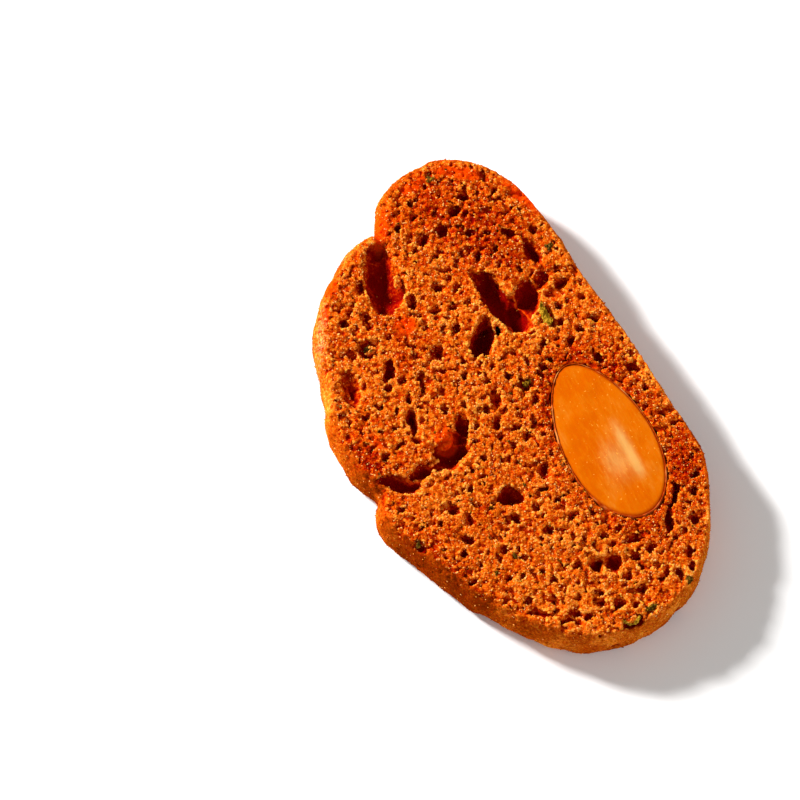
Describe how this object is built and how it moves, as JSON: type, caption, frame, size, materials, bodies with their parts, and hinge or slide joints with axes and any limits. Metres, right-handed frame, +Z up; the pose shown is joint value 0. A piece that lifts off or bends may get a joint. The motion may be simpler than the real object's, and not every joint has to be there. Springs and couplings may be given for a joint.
{
  "type": "savoury biscuit slice",
  "caption": "Thin oval slice of an orange savoury biscuit with open porous crumb, rounded crust, two notches in its edge and an almond cut through near one side.",
  "frame": {"origin": "on the surface it lies on, under the middle of the slice's box", "axes": "+Z up out of the cut face that shows, +Y along the longer side of the slice's box, +X to the right, on the side of the almond"},
  "size_m": [0.047, 0.0612, 0.0065],
  "materials": {
    "crumb": "baked porous crumb, matt, deep orange",
    "almond": "cut almond kernel stained orange, smooth, slight oily gloss"
  },
  "bodies": {
    "root": {"biscuit": "crumb", "almond": "almond"}
  },
  "joints": []
}
